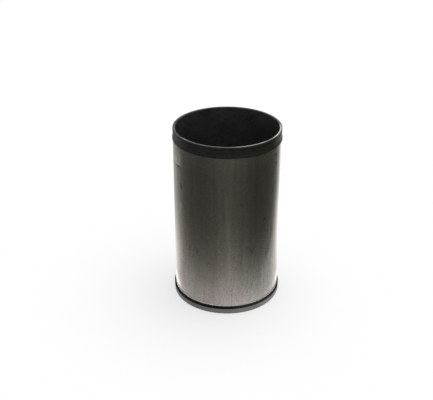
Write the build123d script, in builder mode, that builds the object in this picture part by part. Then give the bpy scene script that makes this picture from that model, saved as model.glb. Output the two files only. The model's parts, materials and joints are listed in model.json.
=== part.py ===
from build123d import *
import os

# Flanged cylinder liner, one piece of cast iron, bored through and turned all over.
# It stands on its flanged foot. Millimetres, +Z along the bore, origin at the centre of the foot.

# Bore and overall length
bore_diameter = 102.0
liner_length = 182.5

# Barrel, the long ground outside of the sleeve
barrel_wall = 2.3

# Flange at the foot: a turned register that sits in the block, under an as-finished ring
flange_step = 1.5           # ring over barrel, radially
register_height = 5.6
register_relief = 0.1       # register under ring, radially
ring_height = 2.6
lead_in_width = 0.6         # tapered entry of the register, radially
lead_in_height = 1.2
shoulder_fillet = 0.4       # left by the grinding wheel where the barrel meets the flange

# Pilot band at the upper end: a proud bead, a shallow waist and a plain land below the rim
bead_step = 0.65            # bead over barrel, radially
bead_height = 1.5
bead_round = 0.3
waist_length = 6.0
waist_depth = 0.45          # waist under the line from bead to land
land_step = 0.2             # land over barrel, radially
land_height = 3.5

# Broken edges
rim_chamfer = 0.3
bore_chamfer = 0.4

# Radii of the wall
bore_radius = bore_diameter / 2
barrel_radius = bore_radius + barrel_wall
ring_radius = barrel_radius + flange_step
register_radius = ring_radius - register_relief
bead_radius = barrel_radius + bead_step
land_radius = barrel_radius + land_step

# Heights up the wall
shoulder_z = register_height + ring_height
land_z = liner_length - land_height
waist_z = land_z - waist_length
bead_z = waist_z - bead_height


def ring_edges(liner, height):
    """Circular edges of the liner that lie flat at one height, from the axis outwards."""
    circles = liner.edges().filter_by(GeomType.CIRCLE)
    return circles.filter_by_position(Axis.Z, height, height).sort_by(SortBy.RADIUS)


with BuildPart() as cylinder_liner:
    # Half section of the wall, drawn from the bore out over the foot, up the outside and back over the rim
    with BuildSketch(Plane.XZ) as wall_section:
        with BuildLine() as wall_outline:
            foot = Polyline(
                (bore_radius, 0),
                (register_radius - lead_in_width, 0),
                (register_radius, lead_in_height),
                (register_radius, register_height),
                (ring_radius, register_height),
                (ring_radius, shoulder_z),
                (barrel_radius, shoulder_z),
            )
            barrel_and_bead = Polyline(
                foot @ 1,
                (barrel_radius, bead_z),
                (bead_radius, bead_z),
                (bead_radius, waist_z),
            )
            waist = SagittaArc(barrel_and_bead @ 1, (land_radius, land_z), waist_depth)
            rim_and_bore = Polyline(
                waist @ 1,
                (land_radius, liner_length),
                (bore_radius, liner_length),
                foot @ 0,
            )
        make_face()
    revolve(axis=Axis.Z)

    # The bead's lower lip is rounded, and the grinding wheel leaves a small radius above the flange
    fillet(ring_edges(cylinder_liner, bead_z).last, radius=bead_round)
    fillet(ring_edges(cylinder_liner, shoulder_z).first, radius=shoulder_fillet)

    # Both mouths of the bore and the outside of the rim are broken
    chamfer(ring_edges(cylinder_liner, liner_length).last, length=rim_chamfer)
    for mouth_z in (0, liner_length):
        chamfer(ring_edges(cylinder_liner, mouth_z).first, length=bore_chamfer)

cylinder_liner.part.label = "cylinder_liner"

os.makedirs("parts", exist_ok=True)
export_step(cylinder_liner.part, "parts/cylinder_liner.step")
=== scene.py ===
import json
import math

import bpy
import numpy as np
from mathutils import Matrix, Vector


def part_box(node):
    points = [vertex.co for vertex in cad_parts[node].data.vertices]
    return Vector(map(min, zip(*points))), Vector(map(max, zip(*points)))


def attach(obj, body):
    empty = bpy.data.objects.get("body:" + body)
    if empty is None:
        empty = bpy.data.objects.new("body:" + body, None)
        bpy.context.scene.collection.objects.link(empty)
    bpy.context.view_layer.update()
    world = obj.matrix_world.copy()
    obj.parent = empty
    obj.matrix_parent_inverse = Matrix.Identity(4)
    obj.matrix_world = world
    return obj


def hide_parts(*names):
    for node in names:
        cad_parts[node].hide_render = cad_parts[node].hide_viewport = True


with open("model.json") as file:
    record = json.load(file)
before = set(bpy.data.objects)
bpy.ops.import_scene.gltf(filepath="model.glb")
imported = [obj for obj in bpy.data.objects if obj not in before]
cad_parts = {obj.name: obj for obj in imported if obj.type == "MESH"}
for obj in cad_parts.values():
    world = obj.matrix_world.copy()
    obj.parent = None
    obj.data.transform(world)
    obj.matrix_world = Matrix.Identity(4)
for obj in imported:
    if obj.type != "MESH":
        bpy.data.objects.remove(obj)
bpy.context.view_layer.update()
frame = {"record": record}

# Sizes of the turned section in millimetres, z up from the foot face
MM = 0.001
mounts = {mount["name"]: mount for mount in frame["record"]["mounts"]}
_, node_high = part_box("cylinder_liner")
length = node_high.z / MM
ring_r = node_high.x / MM
bore_r = mounts["bore"]["dims"]["r_mm"]
land_r = mounts["pilot_land"]["dims"]["r_mm"]
shoulder_z = mounts["flange_shoulder"]["pos_m"][2] / MM
barrel_r = ring_r - 1.5
register_r = ring_r - 0.1
register_z = shoulder_z - 2.6
entry_r, entry_z = register_r - 0.6, 1.2
bead_r = barrel_r + 0.65
land_z = length - 3.5
bead_top_z = land_z - 6.0
bead_z = bead_top_z - 1.5
bead_lip = 0.3
waist_sagitta = 0.45
fillet_r, fillet_sagitta = 0.4, 0.117
bore_chamfer = 0.4
rim_chamfer = 0.3

# Columns of the liner's surface, the slots of its finishes, and the whole waves of its edges' unevenness
COLUMNS = 576
FINISHES = ("turned", "black", "ground", "honed")
EDGE_WAVES = (19, 31, 47, 73, 110)

# Edges that are notched (radius, z, reach, depth), in millimetres
EDGES = [(bead_r, bead_z, 0.4, 0.25), (ring_r, shoulder_z, 0.35, 0.2), (ring_r, register_z, 0.3, 0.1),
         (land_r - 0.1, length - 0.15, 0.4, 0.2)]

# Scored lines (degrees, z, degrees, z, half width, depth) and pits (degrees, z, half width, depth) of the barrel
SCORES = [(-74.0, 151.2, -55.5, 151.6, 1.1, 0.34), (-57.2, 133.6, -56.4, 128.0, 0.6, 0.2)]
PITS = [(60.8, 163.9, 0.9, 0.03), (61.8, 154.8, 0.9, 0.02), (-62.0, 157.5, 2.5, 0.06)]

# Marks of the barrel's tone (degrees from the front, z, half width, half height, lean, strength)
DARK_MARKS = [
    (-62.7, 151.0, 8.0, 1.15, 8, 0.8), (-62.3, 150.7, 2.4, 1.3, 0, 0.5), (-57.5, 131.5, 1.5, 5.2, 14, 1.0),
    (-33.8, 67.7, 2.2, 5.4, 0, 0.27), (29.2, 71.6, 0.9, 3.6, -38, 0.5), (27.2, 68.6, 1.2, 3.8, 12, 0.75),
    (50.5, 68, 2.6, 13, 0, 0.2), (24.3, 73.0, 0.9, 3.8, 34, 0.3), (60.8, 163.9, 2.2, 1.6, 0, 2.2),
    (61.8, 154.8, 2.0, 1.8, 0, 1.5), (42.4, 101.1, 1.9, 2.1, 0, 0.8), (4.4, 26.2, 0.9, 2.8, -20, 0.4),
    (4.8, 21.7, 0.9, 4.4, 20, 0.45), (-0.1, 25.4, 0.8, 1.8, 0, 0.3), (9.8, 20.7, 1.8, 0.9, 0, 0.3),
    (25.6, 13.8, 0.9, 3.6, -41, 0.42), (16.3, 13.2, 0.9, 2.0, -35, 0.4), (27.4, 28.8, 0.9, 6.0, 0, 0.33),
    (-26, 11.6, 1.0, 2.3, 57, 0.5), (-21.7, 13.0, 1.6, 1.0, 0, 0.4), (7.1, 64.9, 0.9, 3.0, 0, 0.35),
    (9.4, 52.5, 0.9, 3.0, 0, 0.3), (14.8, 57, 0.8, 14, 0, 0.22), (14.1, 122.8, 0.9, 2.6, 0, 0.3),
    (26.4, 128.8, 1.2, 2.0, 0, 0.3), (37.2, 120.7, 1.0, 5.5, 0, 0.25), (-47.0, 23.2, 1.2, 3.6, 0, 0.3),
    (-10.4, 40.2, 0.9, 3.2, 0, 0.3), (-11.8, 44.5, 0.9, 3.0, 0, 0.2), (55.0, 82, 2.5, 15, -7, 0.3),
    (47.0, 61, 2.7, 12, -4, 0.33), (69, 130, 9.5, 30, 0, 0.32), (67, 161, 8.0, 19, 0, 0.24)
]
# Among the pale marks are painted highlights: the four tall narrow ones near 0 degrees paint a highlight streak
# down the front, and those from -61 to -70 degrees near z 153 to 160 paint highlights above the scored line
PALE_MARKS_AND_PAINTED_HIGHLIGHTS = [
    (-61, 159.5, 8.5, 11, 0, 0.5), (-63.0, 153.4, 8.0, 1.4, 8, 0.6), (-61, 107, 5, 11, 0, 0.2),
    (-58.5, 110.4, 2.4, 4.5, 12, 0.42), (41.9, 36, 1.0, 17, 0, 0.5), (57, 70, 3, 15, 0, 0.12),
    (18.0, 64, 0.8, 13, 0, 0.3), (1.3, 64, 0.9, 5, 0, 0.25), (-2.9, 155, 2.8, 28, 0, 0.08),
    (-1.7, 127, 2.8, 24, 0, 0.12), (0.5, 96, 3.2, 26, 0, 0.15), (2.9, 62, 3.4, 28, 0, 0.12),
    (52.4, 56.5, 2.6, 9.5, -11, 0.27), (-69.5, 156, 5.5, 6.0, 0, 0.6), (-71.5, 145, 5.0, 28, 0, 0.24)
]

# What the liner mirrors, by degrees from the front: the wall's glow, the floor's glow, the way out in millimetres
# at which the one gives over to the other, and how softly
REFLECTIONS = [
    (-180, 1.0, 1.7, 147, 33), (-156, 0.52, 1.4, 128, 32), (-144, 0.47, 1.5, 112, 32),
    (-132, 0.45, 1.55, 102, 32), (-120, 0.38, 1.5, 93, 30), (-105, 0.2, 1.12, 88, 25),
    (-91, 0.12, 0.79, 74, 24), (-76, 0.08, 0.76, 60, 24), (-50, 0.058, 0.79, 49, 24),
    (-25, 0.07, 0.83, 51, 24), (0, 0.1, 1.0, 58, 26), (25, 0.075, 1.0, 52, 24), (50, 0.05, 0.93, 46, 20),
    (68, 0.057, 0.9, 54, 18), (77, 0.066, 0.88, 64, 18), (84, 0.074, 0.9, 67, 17), (90, 0.08, 0.95, 72, 16),
    (95, 0.095, 0.97, 82, 16), (104, 0.1, 1.06, 97, 16), (111, 0.12, 1.15, 119, 19),
    (122, 0.46, 1.35, 174, 22), (135, 1.2, 1.95, 170, 30), (148, 1.65, 2.0, 163, 32), (180, 1.0, 1.7, 147, 33)
]
# The floor's gain close to the foot, and the glow of the wall's upper part, by degrees from the front
NEAR_FOOT = [
    (-180, 1.0), (-116, 1.5), (-106, 1.5), (-98, 2.0), (-95, 2.1), (-88, 2.0), (-82, 1.0), (-74, 0.7),
    (-64, 0.35), (-54, 0), (0, 0.05), (20, 0.5), (62, 0.4), (77, 0.6), (84, 0.9), (93, 0.9), (101, 1.6),
    (110, 0.95), (180, 1.0)
]
UPPER_WALL = [
    (-180, 0.35), (-166, 0.6), (-152, 1.0), (-120, 0.9), (-90, 1.0), (90, 1.0), (120, 1.3), (152, 1.5),
    (166, 0.9), (180, 0.35)
]


def sagitta_points(start, end, sagitta, count):
    """Points of the flat arc that leaves the chord start-end by sagitta on its left: the chord's middle, plus the
    chord's half length times x along it, plus sagitta * (1 - x * x) across it, x going evenly from -1 to 1."""
    start, end = np.array(start), np.array(end)
    x = np.linspace(-1, 1, count)[:, None]
    chord = (end - start) / 2
    across = np.array([-chord[1], chord[0]]) / np.hypot(*chord)
    return (start + end) / 2 + x * chord + sagitta * (1 - x * x) * across


def turned_outline(corners):
    """Closed half section of a turned part. Each corner (radius, height, rounding, rows, finish) is cut back by
    rounding * tan(half the turn) along both its runs, and an arc tangent to both runs joins the cuts:
    centre + rounding * (cos, sin) of an angle that goes evenly through the turn. rows more points are
    spread evenly over the run that follows. Returns the points and each one's finish number."""
    at = np.array([c[:2] for c in corners], float)
    run_in = at - np.roll(at, 1, axis=0)
    run_out = np.roll(run_in, -1, axis=0)
    heading_in = np.arctan2(run_in[:, 1], run_in[:, 0])
    turn = (np.arctan2(run_out[:, 1], run_out[:, 0]) - heading_in + math.pi) % (2 * math.pi) - math.pi
    rounding = np.array([c[2] for c in corners])
    cut = rounding * np.tan(np.abs(turn) / 2)
    unit_in = run_in / np.hypot(*run_in.T)[:, None]
    unit_out = np.roll(unit_in, -1, axis=0)
    starts, ends = at - unit_in * cut[:, None], at + unit_out * cut[:, None]
    points, finishes = [], []
    for i, (_, _, _, rows, finish) in enumerate(corners):
        if rounding[i] and abs(turn[i]) > 0.01:
            side = math.copysign(1, turn[i])
            left = np.array([-unit_in[i][1], unit_in[i][0]])
            centre = starts[i] + side * rounding[i] * left
            steps = 3 if abs(turn[i]) < 1 else 5
            angle = heading_in[i] - side * math.pi / 2 + turn[i] * np.linspace(0, 1, steps)
            bend = centre + rounding[i] * np.stack([np.cos(angle), np.sin(angle)], axis=1)
        else:
            bend = at[i:i + 1]
        along = (np.arange(rows) + 1)[:, None] / (rows + 1)
        run = ends[i] + along * (starts[(i + 1) % len(corners)] - ends[i])
        points += [bend, run]
        finishes += [FINISHES.index(finish)] * (len(bend) + rows)
    return np.concatenate(points), np.array(finishes)


def liner_corners():
    """Corners of the wall's section, up the outside, in over the rim, down the bore and out over the foot.
    Corners in line with their neighbours only set how close the rows lie. Each is (radius, height, rounding,
    rows, finish)."""
    waist = sagitta_points((bead_r, bead_top_z), (land_r, land_z), waist_sagitta, 9)[1:-1]
    fillet = sagitta_points(
        (barrel_r + fillet_r, shoulder_z), (barrel_r, shoulder_z + fillet_r), fillet_sagitta, 5)
    top = length
    return [
        (bore_r + bore_chamfer, 0, 0.08, 0, "turned"),
        (bore_r + 0.6, 0, 0, 2, "turned"),
        (entry_r, 0, 0.12, 1, "turned"),
        (register_r, entry_z, 0.12, 0, "turned"),
        (register_r, entry_z + 0.3, 0, 3, "turned"),
        (register_r, register_z - 0.2, 0, 0, "turned"),
        (register_r, register_z, 0.03, 0, "black"),
        (ring_r, register_z, 0.03, 0, "black"),
        (ring_r, register_z + 0.2, 0, 1, "black"),
        (ring_r, shoulder_z - 0.25, 0, 0, "black"),
        (ring_r, shoulder_z, 0.12, 0, "black"),
        (barrel_r + 0.7, shoulder_z, 0, 0, "black"),
        *[(r, z, 0, 0, finish) for (r, z), finish in zip(fillet, ["black"] * 2 + ["ground"] * 3)],
        (barrel_r, shoulder_z + 0.7, 0, 15, "ground"),
        (barrel_r, 140, 0, 3, "ground"),
        (barrel_r, 147, 0, 18, "ground"),
        (barrel_r, 155, 0, 6, "ground"),
        (barrel_r, 162, 0, 4, "ground"),
        (barrel_r, 165, 0, 3, "ground"),
        (barrel_r, bead_z - 0.2, 0, 0, "ground"),
        (barrel_r, bead_z, 0.05, 0, "black"),
        (bead_r, bead_z, bead_lip, 0, "black"),
        (bead_r, bead_z + 0.5, 0, 1, "black"),
        (bead_r, bead_top_z - 0.2, 0, 0, "black"),
        (bead_r, bead_top_z, 0.1, 0, "black"),
        *[(r, z, 0, 0, "black") for r, z in waist],
        (land_r, land_z, 0.1, 0, "black"),
        (land_r, land_z + 0.3, 0, 3, "black"),
        (land_r, top - 0.55, 0, 0, "black"),
        (land_r, top - rim_chamfer, 0.08, 0, "black"),
        (land_r - rim_chamfer, top, 0.08, 0, "black"),
        (land_r - 1.0, top, 0, 2, "turned"),
        (bore_r + 0.7, top, 0, 0, "turned"),
        (bore_r + bore_chamfer, top, 0.08, 0, "turned"),
        (bore_r, top - bore_chamfer, 0.08, 0, "honed"),
        (bore_r, top - 0.7, 0, 4, "honed"),
        (bore_r, top - 12, 0, 14, "honed"),
        (bore_r, 0.7, 0, 0, "honed"),
        (bore_r, bore_chamfer, 0.08, 0, "turned"),
    ]


def ripple(around, waves, seed):
    """Uneven turning of an edge, 0 to 1 round the part: the sum of cosines of waves whole waves with random
    phases, raised to the fourth so that it stays near 0 but for a few notches."""
    phases = np.random.default_rng(seed).uniform(0, 2 * math.pi, len(waves))
    total = sum(np.cos(n * around + phase) for n, phase in zip(waves, phases))
    return np.clip(total / len(waves), 0, None) ** 4


def arc_mm(degrees):
    """The way in millimetres round the barrel for so many degrees from its front, positive to the right."""
    return math.radians(degrees) * barrel_r


def knocks(around, radius, height):
    """Depth in millimetres cut from the outside of the liner at each point: a groove along each scored line,
    depth * exp(-(gap / width)^2), shallower to its ends by a sine, and at each pit the same round its middle.
    The bore isn't cut."""
    arc = around * barrel_r
    depth = np.zeros_like(height)
    for start, start_z, end, end_z, width, deep in SCORES:
        ax, bx = arc_mm(start), arc_mm(end)
        across, up = bx - ax, end_z - start_z
        along = np.clip(((arc - ax) * across + (height - start_z) * up) / (across ** 2 + up ** 2), 0, 1)
        gap = np.hypot(arc - ax - along * across, height - start_z - along * up)
        depth += deep * np.exp(-(gap / width) ** 2) * np.sin(math.pi * (0.1 + 0.8 * along))
    for at, at_z, width, deep in PITS:
        depth += deep * np.exp(-(np.hypot(arc - arc_mm(at), height - at_z) / width) ** 2)
    return depth * (radius > bore_r + 1)


def liner_shell():
    """The whole liner as one closed surface: the section's points (r, z) carried round the bore's axis, each at
    (r cos t, r sin t, z) for COLUMNS angles t. The edges of the bead, ring and rim are notched by ripple, and
    the barrel is cut by knocks, always inwards. The map's u is the angle, and v the length along the section."""
    section, finish = turned_outline(liner_corners())
    rows = len(section)
    t = np.linspace(0, 2 * math.pi, COLUMNS, endpoint=False)
    # The same angles from the front, which faces -y
    around = (t + math.pi / 2 + math.pi) % (2 * math.pi) - math.pi
    radius = np.repeat(section[:, :1], COLUMNS, axis=1)
    height = np.repeat(section[:, 1:], COLUMNS, axis=1)
    for seed, (edge_r, edge_z, reach, deep) in enumerate(EDGES):
        near = np.exp(-(((radius - edge_r) ** 2 + (height - edge_z) ** 2) / reach ** 2))
        radius -= deep * near * ripple(t, EDGE_WAVES, seed)[None, :]
    radius -= knocks(around[None, :], radius, height)
    points = np.stack([radius * np.cos(t), radius * np.sin(t), height], axis=2).reshape(-1, 3) * MM
    j, i = np.meshgrid(np.arange(rows), np.arange(COLUMNS), indexing="ij")
    up, on = (j + 1) % rows, (i + 1) % COLUMNS
    faces = np.stack([j * COLUMNS + i, j * COLUMNS + on, up * COLUMNS + on, up * COLUMNS + i], axis=2)
    mesh = bpy.data.meshes.new("liner_shell")
    mesh.from_pydata(points.tolist(), [], faces.reshape(-1, 4).tolist())
    mesh.polygons.foreach_set("use_smooth", np.ones(rows * COLUMNS, bool))
    mesh.polygons.foreach_set("material_index", np.repeat(finish, COLUMNS).astype(np.int32))
    steps = np.hypot(*(np.roll(section, -1, axis=0) - section).T)
    v = np.concatenate([[0], np.cumsum(steps)]) / steps.sum()
    u_corners = np.stack([i, i + 1, i + 1, i], axis=2) / COLUMNS
    v_corners = v[np.stack([j, j, j + 1, j + 1], axis=2)]
    unrolled = mesh.uv_layers.new(name="OFBake")
    unrolled.uv.foreach_set("vector", np.stack([u_corners, v_corners], axis=3).astype(np.float32).ravel())
    mesh.update()
    liner = bpy.data.objects.new("liner_shell", mesh)
    bpy.context.scene.collection.objects.link(liner)
    return liner


class Value:
    """What one socket gives. Arithmetic on values adds their Math nodes to the same finish."""

    def __init__(self, finish, socket):
        self.finish, self.socket = finish, socket

    def math(self, operation, *others):
        return self.finish.add("ShaderNodeMath", dict(enumerate((self, *others))), operation=operation)

    def __add__(self, other):
        return self.math("ADD", other)

    def __sub__(self, other):
        return self.math("SUBTRACT", other)

    def __rsub__(self, other):
        return -self + other

    def __mul__(self, other):
        return self.math("MULTIPLY", other)

    def __truediv__(self, other):
        return self.math("DIVIDE", other)

    def __pow__(self, other):
        return self.math("POWER", other)

    def __neg__(self):
        return self * -1

    def clipped(self):
        return self.math("MAXIMUM", 0).math("MINIMUM", 1)

    __radd__, __rmul__ = __add__, __mul__


class Finish:
    """The nodes of a material or a sky under construction. add() makes every one of them."""

    def __init__(self, owner):
        owner.use_nodes = True
        self.owner, self.tree = owner, owner.node_tree
        self.tree.nodes.clear()

    def add(self, kind, inputs=None, output=0, **settings):
        """A node with these settings and inputs, a value or a constant each. Gives the value of its output."""
        node = self.tree.nodes.new(kind)
        for name, setting in settings.items():
            setattr(node, name, setting)
        for name, given in (inputs or {}).items():
            if isinstance(given, Value):
                self.tree.links.new(given.socket, node.inputs[name])
            else:
                node.inputs[name].default_value = given
        return Value(self, node.outputs[output]) if len(node.outputs) else None

    def place(self, across=1.0, along=1.0):
        """Object coordinates in units of across mm in x and y, and along mm in z."""
        here = self.add("ShaderNodeTexCoord", output="Object")
        scale = (1000 / across, 1000 / across, 1000 / along)
        return self.add("ShaderNodeVectorMath", {0: here, 1: scale}, operation="MULTIPLY")

    def xyz(self):
        """x, y and z of the object coordinates in millimetres."""
        here = self.place()
        return [self.add("ShaderNodeSeparateXYZ", {0: here}, output=n) for n in range(3)]

    def unrolled(self):
        """(millimetres round the barrel from its front, positive to the right, and millimetres up)."""
        x, y, z = self.xyz()
        return x.math("ARCTAN2", -y) * barrel_r, z

    def sideways(self, arc):
        """arc drawn back to 0 between 100 mm and 160 mm, so that what follows it closes at the back."""
        return arc * self.ease(arc.math("ABSOLUTE"), 160, 100)

    def noise(self, across, along, detail=2.0, offset=0.0):
        """Noise from 0 to 1 whose grains are about across mm wide and along mm tall, moved by offset grains."""
        moved = {0: self.place(across, along), 1: (offset, -offset, offset)}
        at = self.add("ShaderNodeVectorMath", moved, operation="ADD")
        return self.add("ShaderNodeTexNoise", {"Vector": at, "Scale": 1.0, "Detail": detail})

    def ease(self, value, low, high):
        """0 at low, 1 at high, on a smooth step between; low may be the larger."""
        return self.add("ShaderNodeMapRange", {"Value": value, "From Min": low, "From Max": high},
                        interpolation_type="SMOOTHSTEP")

    def eased(self, value, *steps):
        """Sum of smooth steps (low, high, rise), each going from 0 at low to rise at high."""
        return sum(self.ease(value, low, high) * rise for low, high, rise in steps)

    def mix(self, factor, a, b):
        return self.add("ShaderNodeMix", {0: factor, 6: a, 7: b}, output=2, data_type="RGBA")

    def shade(self, tint, factor):
        """tint, a colour or a node's, times a grey factor."""
        tint = tint if isinstance(tint, Value) else tint[:3]
        return self.add("ShaderNodeVectorMath", {0: tint, "Scale": factor}, operation="SCALE")

    def bump(self, height, distance):
        return self.add("ShaderNodeBump", {"Height": height, "Distance": distance * MM, "Strength": 1.0})

    def looked_at(self):
        """1 for the rays that the camera or a gloss sees by, and 0 for those that bring light to matt things."""
        rays = ("Is Camera Ray", "Is Glossy Ray", "Is Transmission Ray")
        return sum(self.add("ShaderNodeLightPath", output=ray) for ray in rays).clipped()

    def done(self, shader):
        self.add("ShaderNodeOutputMaterial", {"Surface": shader})
        return self.owner


def new_finish(name):
    return Finish(bpy.data.materials.new(name))


def colour(red, green, blue):
    return (red, green, blue, 1.0)


def blots(finish, spots):
    """Sum of soft oval marks (degrees, z, half width, half height, lean, strength): strength * (1 - d * d)^2
    inside each oval, d being the way from its centre in half sizes, and lean the degrees its top tips left."""
    arc, up = finish.unrolled()
    marks = []
    for at, at_z, wide, tall, lean, strength in spots:
        aside, above = arc - arc_mm(at), up - at_z
        c, s = math.cos(math.radians(lean)), math.sin(math.radians(lean))
        across, along = (aside * c + above * s) / wide, (above * c - aside * s) / tall
        marks.append((1 - across * across - along * along).clipped() ** 2 * strength)
    return sum(marks)


def ground_iron():
    """Barrel: iron ground round the part and rubbed along it. Short brushed streaks run up it over broad stained
    zones, brown and grey-green, with a faint blush, and it carries pale and dark marks, some of the pale ones
    painted highlights. It is paler just above the left of the foot. Oxide keeps the fillet and the flange shoulder
    under it matt."""
    f = new_finish("ground_iron")
    arc, up = f.unrolled()
    side = f.sideways(arc)
    brushed = f.noise(1.0, 16, 3.0)
    streaks = f.noise(5, 130, 2.0, 9.1)
    zones = f.noise(15, 110, 2.0, 3.7)
    clouds = f.noise(7, 9, 2.0, 6.3)
    blush = f.noise(8, 13, 2.0, 12.5)
    lines = f.noise(40, 0.9, 2.0)
    grain = f.noise(1.4, 1.5, 3.0)
    lower_half = f.ease(up, 100, 25)
    under_band = f.ease(up, 150, 167)
    left_of_foot = f.ease(up, 17, 11) * f.ease(side, -54, -66)
    upper_left = f.ease(side, -24, -50) * f.ease(up, 90, 150)
    oxide = f.ease(up, shoulder_z + 1.5, shoulder_z + 0.9)
    darkest = 0.93
    # The pale blots include painted highlights down the front and above the scored line
    darker, lighter = blots(f, DARK_MARKS).math("MINIMUM", darkest), blots(f, PALE_MARKS_AND_PAINTED_HIGHLIGHTS)
    tone = (1.0 + (brushed - 0.5) * (0.16 + lower_half * 0.2) + (streaks - 0.5) * 0.28 + (zones - 0.5) * 0.22
            + (clouds - 0.5) * 0.2 + (grain - 0.5) * (0.65 + lower_half * 0.2) + under_band * 0.08
            + left_of_foot * 0.5 - darker + lighter)
    green = f.ease(zones + (streaks - 0.5) * 0.6 + f.ease(side, 12, 30) * 0.35, 0.42, 0.74)
    iron = f.mix(green, colour(0.418, 0.380, 0.330), colour(0.392, 0.380, 0.329))
    iron = f.mix(upper_left, iron, colour(0.384, 0.379, 0.343))
    iron = f.mix(f.ease(blush, 0.45, 0.68) * 0.5, iron, colour(0.424, 0.374, 0.344))
    iron = f.mix(oxide, iron, colour(0.700, 0.680, 0.660))
    roughness = (0.235 + (streaks - 0.5) * 0.06 + (grain - 0.5) * 0.06 + oxide * 0.3).clipped()
    return f.done(f.add("ShaderNodeBsdfPrincipled", {
        "Base Color": f.shade(iron, tone), "Metallic": 1 - oxide, "Roughness": roughness,
        "Anisotropic": 0.8, "Anisotropic Rotation": 0.25,
        "Normal": f.bump(lines * 0.5 + grain * 0.4 + brushed * 0.4, 0.008)}))


def black_finish():
    """Pilot band and flange ring: dull black coat on turned iron. On the band it is olive, a neutral grey on the
    left and browner at the right end. A painted reflection makes it paler at both ends, and it is a little paler
    in the waist. The ring is paler all round, paler still on its right side from painted light, and painted shade
    keeps it dark at its tips."""
    f = new_finish("black_finish")
    arc, up = f.unrolled()
    side = f.sideways(arc)
    grain = f.noise(1.5, 1.3, 3.0)
    lines = f.noise(30, 0.6, 2.0, 1.3)
    wear = f.noise(9, 2.5, 3.0, 5.1)
    ring = f.ease(up, 60, 30)
    waist = f.ease(up, 175, 177) * f.ease(up, 179.6, 178.8)
    # The ring's tone: 0.7 paler all round, plus painted light on its right side and painted shade at its tips
    ring_tone_and_painted_light = 0.7 + f.eased(side, (2, 12, 2.6), (56, 70, -2.6), (-56, -66, -1.35))
    # Painted reflection making the band's ends paler, plus a paler waist
    band_painted_light_and_waist = f.eased(side, (-38, -66, 3), (48, 62, 2.5)) + waist * 0.4
    tone = (1.04 + (grain - 0.5) * 3.0 + (wear - 0.5) * 0.3) * (1 + ring * ring_tone_and_painted_light + (1 - ring) * band_painted_light_and_waist)
    coat = f.mix(f.ease(side, -5, -20), colour(0.0098, 0.0106, 0.0054), colour(0.0108, 0.0102, 0.0102))
    coat = f.mix(f.ease(side, 48, 62), coat, colour(0.0121, 0.0106, 0.0076))
    coat = f.mix(ring, coat, colour(0.0105, 0.0102, 0.0092))
    return f.done(f.add("ShaderNodeBsdfPrincipled", {
        "Base Color": f.shade(coat, tone), "Metallic": ring * 0.85,
        "Roughness": (0.34 + grain * 0.18 + wear * 0.1 + ring * 0.35).clipped(), "Specular IOR Level": 0.25,
        "Normal": f.bump(grain * 0.5 + lines * 0.5, 0.03)}))


def turned_iron():
    """Rim, chamfers, foot face and flange register: bright turned iron with the tool's fine rings. A painted
    highlight makes the rim brighter right of its front and at its right end, with a painted dull stretch between,
    and painted shade makes it duller left of its front but for one painted bright stretch, and dulls its far half.
    Painted light makes the foot brighter on the right, and painted shade makes it duller at its ends."""
    f = new_finish("turned_iron")
    arc, up = f.unrolled()
    side, aside = f.sideways(arc), arc.math("ABSOLUTE")
    grain = f.noise(1.5, 1.5, 3.0, 2.2)
    stain = f.noise(12, 12, 3.0, 7.7)
    rings = f.noise(60, 0.45, 1.0, 4.4)
    rim = f.ease(up, 100, 150)
    # Painted shade: a dark gap in the rim's painted highlight, from 35 to 56 degrees right of the front
    rim_painted_dull_stretch = f.ease(side, 35, 42) * f.ease(side, 56, 50)
    # Painted highlight and painted shade along the rim, by degrees from the front
    rim_painted_highlight = 0.15 - rim_painted_dull_stretch * 1.25 + f.eased(
        side, (-66, -74, 0.5), (-47, -56, -1.3), (-36, -46, 0.7), (-14, -26, -0.2), (3, 11, 0.85), (24, 34, 0.15),
        (50, 58, 1.05))
    # Painted light on the foot: brighter right of its front, with painted shade at both its ends
    foot_painted_light = f.eased(side, (-62, -72, -0.25), (28, 42, 0.35), (58, 76, -0.5))
    # The rim's painted highlight fades out behind it, and painted shade dulls its far half; below the rim, the
    # foot's painted light
    bright = (rim * (rim_painted_highlight * f.ease(aside, 92, 82) - f.ease(aside, 78, 94) * 0.75)
              + (1 - rim) * foot_painted_light)
    tone = (0.8 + (grain - 0.5) * 0.25 + (stain - 0.5) * 0.5 + rings * 0.3) * (1 + bright)
    iron = f.mix(rim, colour(0.181, 0.179, 0.162), colour(0.182, 0.178, 0.172))
    return f.done(f.add("ShaderNodeBsdfPrincipled", {
        "Base Color": f.shade(iron, tone), "Metallic": 1.0, "Roughness": (0.36 + stain * 0.12).clipped(),
        "Anisotropic": 0.4, "Anisotropic Rotation": 0.25, "Normal": f.bump(rings + grain * 0.4, 0.02)}))


def honed_iron():
    """Bore: dark honed wall. Two sets of scores cross at sixty degrees: noise read at the point turned about the
    axis by +34 or -34 radians for each metre of height, so that its grains lie along helices."""
    f = new_finish("honed_iron")
    x, y, z = f.xyz()
    angle = x.math("ARCTAN2", -y)
    score_length, scores_per_radian = 45, 52
    sets = []
    for twist in (0.034, -0.034):
        turned = angle + z * twist
        at = f.add("ShaderNodeCombineXYZ", {
            0: turned.math("COSINE") * scores_per_radian, 1: turned.math("SINE") * scores_per_radian,
            2: z / score_length + twist * 100})
        sets.append(f.add("ShaderNodeTexNoise", {"Vector": at, "Scale": 1.0, "Detail": 3.0}))
    scores = sum(sets)
    clouds = f.noise(16, 16, 3.0, 8.8)
    grain = f.noise(1.6, 1.8, 3.0, 3.1)
    tone = (0.45 + (scores - 1) * 0.9 + clouds * 0.7 + (grain - 0.5) * 1.3).clipped()
    return f.done(f.add("ShaderNodeBsdfPrincipled", {
        "Base Color": f.shade(colour(0.055, 0.054, 0.053), tone), "Metallic": 0.6,
        "Roughness": (0.42 + (scores - 1) * 0.2 + clouds * 0.1).clipped(), "Normal": f.bump(scores, 0.02)}))


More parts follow.
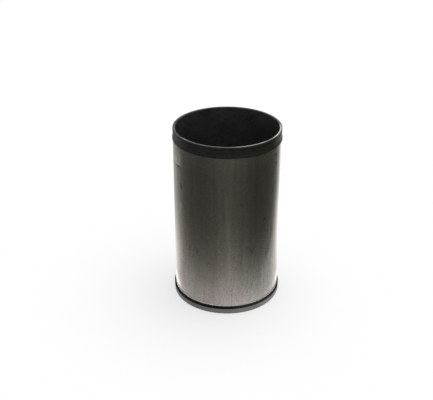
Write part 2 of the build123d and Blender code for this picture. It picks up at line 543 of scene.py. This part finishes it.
def grid_surface(name, points, glow=None):
    """A sheet through a grid of points (rows, columns, 3), with a glow of three numbers at each if given."""
    rows, columns = points.shape[:2]
    j, i = np.meshgrid(np.arange(rows - 1), np.arange(columns - 1), indexing="ij")
    first = j * columns + i
    faces = np.stack([first, first + 1, first + columns + 1, first + columns], axis=2).reshape(-1, 4)
    mesh = bpy.data.meshes.new(name)
    mesh.from_pydata(points.reshape(-1, 3).tolist(), [], faces.tolist())
    if glow is not None:
        given = mesh.attributes.new("glow", "FLOAT_VECTOR", "POINT")
        given.data.foreach_set("vector", glow.astype(np.float32).ravel())
    made = bpy.data.objects.new(name, mesh)
    bpy.context.scene.collection.objects.link(made)
    return made


def studio_floor():
    """White floor, flat and a tenth of a millimetre under the foot face. Near the liner it is partly a matt white
    that takes its soft shadow, and from 0.26 m out it is plain white. Seen from below it is clear."""
    edge = np.linspace(-4, 4, 9)
    x, y = np.meshgrid(edge, edge)
    floor = grid_surface("studio_floor", np.stack([x, y, np.full_like(x, -0.0001)], axis=2))
    f = new_finish("floor_white")
    x, y, _ = f.xyz()
    outer = f.ease((x * x + y * y) ** 0.5, 70, 260)
    matt = f.add("ShaderNodeBsdfDiffuse", {"Color": colour(0.86, 0.86, 0.86)})
    white = f.add("ShaderNodeEmission", {"Color": colour(1, 1, 1)})
    top = f.add("ShaderNodeMixShader", {0: f.looked_at() * (0.6 + outer * 0.4), 1: matt, 2: white})
    under = f.add("ShaderNodeNewGeometry", output="Backfacing")
    clear = f.add("ShaderNodeBsdfTransparent")
    floor.data.materials.append(f.done(f.add("ShaderNodeMixShader", {0: under, 1: top, 2: clear})))


def read_off(degrees, marks):
    """The columns of a table of (degrees, number, ...) marks, each read at degrees, straight between the marks."""
    at, *columns = zip(*marks)
    return [np.interp(degrees, at, column)[None, :] for column in columns]


def reflector():
    """Card that only the liner's gloss sees: a flat ring on the floor from the foot out to r = 0.16 m, a round
    wall 0.6 m high and a lid, each point at (r sin a, -r cos a, z) for the angle a from the front. With s the way
    out over the floor and then up the wall, it glows wall + (floor - wall) / (1 + exp((s - reach) / soft)). floor
    is first multiplied by 1 + near * exp(-((s - 9) / 5)^2), a pale ring round the foot, and from 0.2 m up the
    wall the glow goes over to above on a logistic step. The dark wall is tinted green and the floor pinkish."""
    inner_r, wall_r, lid_z = 55, 160, 600
    ring_out, ring_soft = 9, 5
    opening_z, opening_soft = 200, 10
    ring_width = wall_r - inner_r
    degrees = np.linspace(-180, 180, 361)
    wall, floor, reach, soft = read_off(degrees, REFLECTIONS)
    (near,), (above,) = read_off(degrees, NEAR_FOOT), read_off(degrees, UPPER_WALL)
    out = np.linspace(0, ring_width, 22)
    up = np.concatenate([np.linspace(5, 300, 60), np.linspace(320, lid_z, 15)])
    s = np.concatenate([out, ring_width + up])[:, None]
    floor = floor * (1 + near * np.exp(-((s - ring_out) / ring_soft) ** 2))
    share = 1 / (1 + np.exp((s - reach) / soft))
    high = 1 / (1 + np.exp(-(s - ring_width - opening_z) / opening_soft))
    glow = (wall + (floor - wall) * share) * (1 - high) + above * high
    pale = np.maximum(high, np.clip(wall / 0.4, 0, 1) * (1 - high))[..., None]
    dark_tint, pale_tint, pinkish = np.array([[1.0, 1.03, 0.91], [1.0, 1.0, 0.99], [0.02, -0.025, 0.1]])
    tint = dark_tint * (1 - pale) + pale_tint * pale
    blush = 1 + pinkish * np.interp(np.abs(degrees), [75, 100], [1, 0.35])[None, :, None]
    glow = glow[..., None] * (tint + (blush - tint) * share[..., None])
    a = np.radians(degrees)[None, :]
    radius = np.concatenate([inner_r + out, np.full(len(up), wall_r)])[:, None] * MM
    height = np.concatenate([np.full(len(out), 0.3), up])[:, None] * MM
    bowl = grid_surface("reflector", np.stack(np.broadcast_arrays(
        radius * np.sin(a), -radius * np.cos(a), height), axis=2), glow)
    lid_r = np.linspace(0.5, wall_r, 9)[:, None] * MM
    lid = grid_surface("reflector_lid", np.stack(np.broadcast_arrays(
        lid_r * np.sin(a), -lid_r * np.cos(a), lid_z * MM), axis=2), np.full((9, len(degrees), 3), 0.8))
    f = new_finish("reflector_glow")
    given = f.add("ShaderNodeAttribute", output="Vector", attribute_name="glow")
    glowing = f.done(f.add("ShaderNodeEmission", {"Color": given, "Strength": 1.0}))
    for piece in (bowl, lid):
        piece.data.materials.append(glowing)
        piece.visible_camera = piece.visible_diffuse = piece.visible_transmission = False
        piece.visible_shadow = piece.visible_volume_scatter = False


def studio_light():
    """Pale sky that is white where it is seen, and a large soft box overhead."""
    world = bpy.data.worlds.new("studio_sky")
    bpy.context.scene.world = world
    f = Finish(world)
    sky = f.add("ShaderNodeBackground", {"Color": colour(1, 1, 1), "Strength": 0.5 + f.looked_at() * 0.5})
    f.add("ShaderNodeOutputWorld", {"Surface": sky})
    box = bpy.data.lights.new("softbox", "AREA")
    box.shape, box.size, box.energy = "DISK", 1.4, 18
    overhead = bpy.data.objects.new("softbox", box)
    overhead.location = (0.2, 0.1, 1.5)
    overhead.rotation_euler = (-0.066, 0.133, 0)
    bpy.context.scene.collection.objects.link(overhead)


def camera():
    """Camera 0.76 m in front of the liner and 0.49 m up, looking down at it."""
    lens = bpy.data.cameras.new("camera")
    lens.sensor_width, lens.lens, lens.clip_start = 36, 69.58, 0.01
    stand = bpy.data.objects.new("camera", lens)
    stand.location = (-0.010566, -0.757184, 0.489567)
    looking_down = 0.47345
    stand.rotation_euler = (math.pi / 2 - looking_down, 0, 0)
    bpy.context.scene.collection.objects.link(stand)
    bpy.context.scene.camera = stand


liner = liner_shell()
for make in (turned_iron, black_finish, ground_iron, honed_iron):
    liner.data.materials.append(make())
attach(liner, "root")
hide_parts("cylinder_liner")

studio_floor()
reflector()
studio_light()
camera()
bpy.context.scene.view_settings.view_transform = "Standard"
